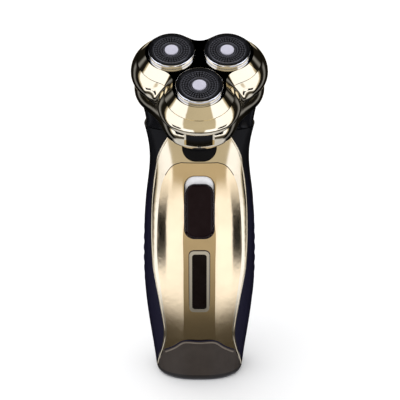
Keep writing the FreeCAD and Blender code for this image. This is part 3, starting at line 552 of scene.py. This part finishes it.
# All in millimetres. Beads and seams are (half width, height above the surface).
BEZEL_INSET, BEZEL_LOW, BEZEL_HIGH, BEZEL_BEAD, BEZEL_STEP = 0.45, 3.4, 123, (0.35, 0.2), 0.8
PANEL_SEAM_LOW, PANEL_TOP_STEPS, PANEL_SEAM, PANEL_STEP = 105.5, 12, (0.17, 0.06), 0.6
CHIN_TOP = [(-16.9, 15.6), (-12.0, 19.2), (-7.5, 22.6), (0.0, 22.6), (7.5, 22.6), (12.0, 19.2),
            (16.9, 15.6)]
CHIN_SEAM, CHIN_STEP = (0.3, 0.06), 0.5
CHIN_BEVEL, CHIN_SHRINK, CHIN_BEAD = 1.1, 0.97, (0.35, 0.1)
SLOT_HALF, SLOT_LOW, SLOT_HIGH, SLOT_CORNER, SLOT_SEAM = 6.85, 76.45, 106.55, 4.6, (0.2, 0.05)
WINDOW_INSET, WINDOW_CORNER, WINDOW_BEAD = 0.75, 1.6, (0.65, 0.36)
WINDOW_GAP, WINDOW_SEAM_CORNER, WINDOW_SEAM = 0.15, 2.3, (0.18, 0.05)
BUTTON_CORNER = 4.2
BUTTON_RINGS = [
    # how far in from the outline, and how proud of the handle's front
    (0.0, -1.2), (0.0, 0.15), (0.12, 0.42), (0.4, 0.66), (0.9, 0.8), (1.6, 0.82),
    (2.6, 0.74), (3.8, 0.66), (5.0, 0.62),
]
GRIP_ROWS, GRIP_COLUMNS = 200, 34
GRIP_MIDDLE, GRIP_ARC, GRIP_TIP = 62.0, 60.0, 0.999
GRIP_FRONT, GRIP_BACK = 54.0, -52.0
GRIP_DEPTH, GRIP_PROUD, GRIP_SMOOTH_ANGLE = 1.0, 0.1, 50.0
GROOVE_DEPTH, GROOVE_POWER, GROOVE_FADE = 0.55, 3, 1.5
RIB_PITCH, RIB_SLANT = 5.5, 0.55


def make_grip(side, name, material):
    """A leaf of soft rubber let into the flank, with slanted ribs across it.

    Two arcs bound the leaf. The first and last points of each row lie under the flank, so that
    the leaf has walls and a back.
    """
    reach = math.sqrt(GRIP_ARC**2 - ((GRIP_FRONT - GRIP_BACK) / 2) ** 2)
    points = []
    for i in range(GRIP_ROWS):
        z = GRIP_MIDDLE + reach * GRIP_TIP * (2 * i / (GRIP_ROWS - 1) - 1)
        arc = math.sqrt(GRIP_ARC**2 - (z - GRIP_MIDDLE) ** 2)
        low, high = GRIP_FRONT - arc, GRIP_BACK + arc
        for j in range(GRIP_COLUMNS):
            share = (j - 1) / (GRIP_COLUMNS - 3)
            inside = min(max(share, 0.0), 1.0)
            y = low + (high - low) * inside
            margin = min(inside, 1 - inside) * (high - low)
            wave = 0.5 + 0.5 * math.cos(2 * math.pi * (z + RIB_SLANT * y) / RIB_PITCH)
            groove = GROOVE_DEPTH * wave**GROOVE_POWER * min(1.0, margin / GROOVE_FADE)
            proud = -GRIP_DEPTH if share != inside else GRIP_PROUD - groove
            points.append(side_point(side, y, z, proud))
    faces = tube_faces(GRIP_ROWS, GRIP_COLUMNS)
    add_piece(f"{name}_ribbed", points, faces, BODY_OF[name], [material], [name],
              GRIP_SMOOTH_ANGLE)


def make_front_edges(looks):
    """The bright edges of the gold front, a painted highlight along the chin's bevel, and the dark
    seams of panel and slot.
    """
    for side in (-1, 1):
        label = "left" if side < 0 else "right"
        edge = [(side * (x - BEZEL_INSET), z) for x, z in spline_points(GOLD_EDGE, BEZEL_STEP)
                if BEZEL_LOW < z < BEZEL_HIGH]
        front_bead(f"bezel_edge_{label}", edge, BEZEL_BEAD, looks["gold_bezel"])
    half = [(x, z) for x, z in spline_points(PANEL_EDGE, PANEL_STEP) if z > PANEL_SEAM_LOW]
    top_x, top_z = half[-1]
    across = [
        (top_x * (1 - i / PANEL_TOP_STEPS), top_z) for i in range(1, 2 * PANEL_TOP_STEPS)
    ]
    seam = half + across + [(-x, z) for x, z in reversed(half)]
    front_bead("panel_seam", seam, PANEL_SEAM, looks["black_satin"])
    chin_top = spline_points(CHIN_TOP, CHIN_STEP)
    front_bead("chin_seam", chin_top, CHIN_SEAM, looks["black_satin"])
    # the chin's bevel bead, painted lighter as a painted highlight
    chin_edge = [(x * CHIN_SHRINK, z - CHIN_BEVEL) for x, z in chin_top]
    front_bead("chin_bevel", chin_edge, CHIN_BEAD, looks["chin_edge"])
    slot_edge = rounded_outline(SLOT_HALF, SLOT_LOW, SLOT_HIGH, SLOT_CORNER)
    front_bead("slot_seam", slot_edge, SLOT_SEAM, looks["black_satin"],
               flat=True, closed=True)


def front_span(node):
    """The half width, bottom and top of a node in the middle of the front, in millimetres."""
    lowest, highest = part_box(node)
    return highest.x / MM, lowest.z / MM, highest.z / MM


def make_button(looks):
    """The slide button: a glossy pad with rolled edges and a shallow dish for the thumb."""
    half, low, high = front_span("power_button")
    middle, tall = (low + high) / 2, (high - low) / 2
    outline = rounded_outline(half, low, high, BUTTON_CORNER)
    points = []
    for inset, proud in BUTTON_RINGS:
        for x, z in outline:
            inner_x = x * (half - inset) / half
            inner_z = middle + (z - middle) * (tall - inset) / tall
            points.append(front_point(inner_x, inner_z, proud, flat=True))
    columns = len(outline)
    faces = tube_faces(len(BUTTON_RINGS), columns)
    faces.append(tuple(range(len(points) - columns, len(points))))
    add_piece("power_button_pad", points, faces, BODY_OF["power_button"],
              [looks["button_gloss"]], ["power_button"])


def make_window(looks):
    """The bright rounded edge of the charge window's bezel, and the dark seam round it."""
    half, low, high = front_span("indicator_bezel")
    path = rounded_outline(
        half - WINDOW_BEAD[0], low + WINDOW_INSET, high - WINDOW_INSET, WINDOW_CORNER
    )
    front_bead("window_bezel", path, WINDOW_BEAD, looks["window_silver"],
               flat=True, closed=True)
    edge = rounded_outline(
        half + WINDOW_GAP, low - WINDOW_GAP, high + WINDOW_GAP, WINDOW_SEAM_CORNER
    )
    front_bead("window_seam", edge, WINDOW_SEAM, looks["black_satin"],
               flat=True, closed=True)


# ---------------------------------------------------------------- pieces of the head

# The rim's section, as (radius, height above the seat's middle) in millimetres.
RIM_PROFILE = [
    (8.7, -0.62), (9.0, -0.5), (9.25, -0.22), (9.75, -0.12), (9.85, 0.0), (10.02, 0.0),
    (10.2, -0.12), (10.32, -0.4), (10.4, -0.9), (10.4, -3.2), (9.3, -3.2), (9.25, -0.9),
    (8.7, -0.9),
]
# Inside this radius the rim is painted black gloss, as painted shade of the gap round the cap.
LIP_RADIUS = 9.8


def make_rim(seat, looks):
    """The polished ring of a cutting head, thin at its top edge, with its inner lip painted black
    as painted shade of the gap round the cap.
    """
    place = seat_frame(seat)
    points, faces = lathe_points(place, RIM_PROFILE)
    name = f"rim_ring_{seat}"
    piece = add_piece(f"{name}_polished", points, faces, BODY_OF[name],
                      [looks["silver"], looks["black_gloss"]], [name])
    for face in piece.data.polygons:
        middle = place.inverted() @ face.center
        radius = math.hypot(middle.x, middle.y) / MM
        face.material_index = 1 if radius < LIP_RADIUS else 0


# ---------------------------------------------------------------- studio

CAMERA_RAISE = math.radians(22.0)
CAMERA_REACH = 0.561
AIM_HEIGHT = 0.0876
LENS, SENSOR, SHIFT = 106.92, 36.0, 0.0015
CLIP_NEAR, CLIP_FAR = 0.01, 50.0

FLOOR_REACH, FLOOR_COLOUR, FLOOR_ROUGHNESS = 30.0, (0.95, 0.95, 0.95), 0.9

LAMPS = {"key": (-0.5, -0.5, 0.9), "back": (-0.3, 0.7, 0.9)}
LAMP_AIM, LAMP_SIZE, LAMP_WATTS = (0, 0, 0.08), 1.2, 3.0

# What polished parts mirror. Angles are in degrees: rise is up from level, and away is round from
# straight in front, to either side. Each span is (from, to, softness of its edges).
SHEET_STOPS = [
    # share of the way from straight down to straight up, and brightness
    (0.265, 0.04), (0.315, 0.10), (0.345, 0.32), (0.375, 0.50), (0.42, 0.55), (0.53, 0.58),
    (0.62, 0.54), (0.72, 0.35), (0.80, 0.0),
]
SHEET_COLOUR, SHEET_LEVEL = (1.0, 0.89, 0.68), 1.05
BOX_COLOUR, BOX_LEVEL = (0.80, 0.83, 0.93), 1.8
WIDE_BOX, WIDE_LEVEL = {"away": (38.0, 88.0, 2.5), "rise": (-12.0, 62.0, 2.5)}, 0.87
LOW_BOX = {"away": (14.0, 88.0, 3.0), "rise": (-31.0, -12.0, 4.0)}
FLAG = {"away": (47.0, 74.0, 2.0), "rise": (-24.5, -13.5, 1.0)}
STREAK, STREAK_LEVEL = {"away": (112.0, 124.0, 6.0), "rise": (-50.0, 25.0, 8.0)}, 0.16
WING_AWAY, WING_SHADE = (93.0, 165.0, 3.0), 0.985
GROUND_RISE, GROUND_LEVEL = (-91.0, -46.0, 3.0), 0.45
PALE_COLOUR = (0.97, 0.97, 0.97)


def make_camera():
    """The photo's view: from straight in front, a little from above."""
    data = bpy.data.cameras.new("camera")
    data.lens, data.sensor_width, data.shift_x = LENS, SENSOR, SHIFT
    data.clip_start, data.clip_end = CLIP_NEAR, CLIP_FAR
    camera = bpy.data.objects.new("camera", data)
    bpy.context.scene.collection.objects.link(camera)
    along, up = CAMERA_REACH * math.cos(CAMERA_RAISE), CAMERA_REACH * math.sin(CAMERA_RAISE)
    camera.location = (0.0, -along, AIM_HEIGHT + up)
    camera.rotation_euler = (math.pi / 2 - CAMERA_RAISE, 0.0, 0.0)
    bpy.context.scene.camera = camera
    bpy.context.scene.view_settings.view_transform = "Standard"


def make_floor():
    """A pale sheet that the shaver stands on; polished parts mirror the studio, not the sheet."""
    mesh = bpy.data.meshes.new("floor")
    corners = [(x * FLOOR_REACH, y * FLOOR_REACH, 0)
               for x, y in ((-1, -1), (1, -1), (1, 1), (-1, 1))]
    mesh.from_pydata(corners, [], [(0, 1, 2, 3)])
    floor = bpy.data.objects.new("floor", mesh)
    bpy.context.scene.collection.objects.link(floor)
    look = Look("floor", FLOOR_COLOUR, FLOOR_ROUGHNESS, gloss=0.0)
    paint(floor, look.material)
    floor.visible_glossy = False


class Sky(Look):
    """The world's node tree, with the same short ways as a material."""

    def __init__(self):
        world = bpy.data.worlds.new("studio")
        bpy.context.scene.world = world
        world.use_nodes = True
        self.tree = world.node_tree
        self.tree.nodes.clear()
        split = self.add("ShaderNodeSeparateXYZ")
        self.join(self.add("ShaderNodeTexCoord").outputs["Generated"], split.inputs["Vector"])
        x, y, z = split.outputs
        side, forward = self.math("ABSOLUTE", x), self.math("MULTIPLY", y, -1.0)
        self.rise = self.math("MULTIPLY", self.math("ARCSINE", z), 180 / math.pi)
        self.away = self.math("MULTIPLY", self.math("ARCTAN2", side, forward), 180 / math.pi)

    def band(self, value, low, high, soft):
        """1 between low and high, with soft edges, and 0 outside."""
        up = self.add("ShaderNodeMapRange", interpolation_type="SMOOTHSTEP")
        up.inputs["From Min"].default_value = low - soft
        up.inputs["From Max"].default_value = low + soft
        self.join(value, up.inputs["Value"])
        down = self.add("ShaderNodeMapRange", interpolation_type="SMOOTHSTEP")
        down.inputs["From Min"].default_value = high - soft
        down.inputs["From Max"].default_value = high + soft
        down.inputs["To Min"].default_value = 1.0
        down.inputs["To Max"].default_value = 0.0
        self.join(value, down.inputs["Value"])
        return self.math("MULTIPLY", up.outputs["Result"], down.outputs["Result"])

    def patch(self, away, rise):
        """1 inside a pair of patches, one to each side, and 0 outside."""
        return self.math("MULTIPLY", self.band(self.away, *away), self.band(self.rise, *rise))

    def light(self, colour, level=None):
        """A light of one colour, as strong as a value says."""
        node = self.add("ShaderNodeBackground")
        node.inputs["Color"].default_value = (*colour, 1.0)
        if level is not None:
            self.join(level, node.inputs["Strength"])
        return node.outputs["Background"]


def make_studio():
    """Mirrored: a warm sheet in front, cool boxes and dark wings beside it. Seen: plain pale."""
    sky = Sky()
    sheet = sky.ramp(
        sky.math("ADD", sky.math("MULTIPLY", sky.rise, 1 / 180.0), 0.5), SHEET_STOPS
    )
    flags = sky.patch(**FLAG)
    wings = sky.math("MULTIPLY", sky.band(sky.away, *WING_AWAY), WING_SHADE)
    open_share = sky.math(
        "MULTIPLY", sky.math("SUBTRACT", 1.0, flags), sky.math("SUBTRACT", 1.0, wings)
    )
    wide = sky.math("MULTIPLY", sky.patch(**WIDE_BOX), WIDE_LEVEL)
    boxes = sky.math("MULTIPLY", sky.math("MAXIMUM", wide, sky.patch(**LOW_BOX)), open_share)
    warm = sky.math("MULTIPLY", sheet, sky.math("SUBTRACT", open_share, boxes))

    ground = sky.math("MULTIPLY", sky.band(sky.rise, *GROUND_RISE), GROUND_LEVEL)
    streak = sky.math("MULTIPLY", sky.patch(**STREAK), STREAK_LEVEL)
    cool = sky.math("ADD", sky.math("ADD", boxes, ground), streak)

    studio = sky.add("ShaderNodeAddShader")
    sky.join(sky.light(SHEET_COLOUR, sky.math("MULTIPLY", warm, SHEET_LEVEL)), studio.inputs[0])
    sky.join(sky.light(BOX_COLOUR, sky.math("MULTIPLY", cool, BOX_LEVEL)), studio.inputs[1])

    path = sky.add("ShaderNodeLightPath")
    plain = sky.math("MAXIMUM", path.outputs["Is Camera Ray"], path.outputs["Is Diffuse Ray"])
    mixed = sky.add("ShaderNodeMixShader")
    sky.join(plain, mixed.inputs["Fac"])
    sky.join(studio.outputs["Shader"], mixed.inputs[1])
    sky.join(sky.light(PALE_COLOUR), mixed.inputs[2])
    output = sky.add("ShaderNodeOutputWorld")
    sky.join(mixed.outputs["Shader"], output.inputs["Surface"])


def make_lamp(name, place):
    """A soft square lamp that lights the floor and the plastics, aimed at the shaver."""
    data = bpy.data.lights.new(name, "AREA")
    data.size, data.energy = LAMP_SIZE, LAMP_WATTS
    lamp = bpy.data.objects.new(name, data)
    bpy.context.scene.collection.objects.link(lamp)
    lamp.location = place
    lamp.rotation_euler = (Vector(LAMP_AIM) - Vector(place)).to_track_quat("-Z", "Y").to_euler()
    lamp.visible_glossy = False


def main():
    looks = make_looks()
    paint_nodes(looks)
    make_grip(-1, "left_grip", looks["navy_rubber"])
    make_grip(1, "right_grip", looks["navy_rubber"])
    make_front_edges(looks)
    make_button(looks)
    make_window(looks)
    for seat in SEATS:
        make_rim(seat, looks)
    make_camera()
    make_floor()
    make_studio()
    for name, place in LAMPS.items():
        make_lamp(name, place)


main()
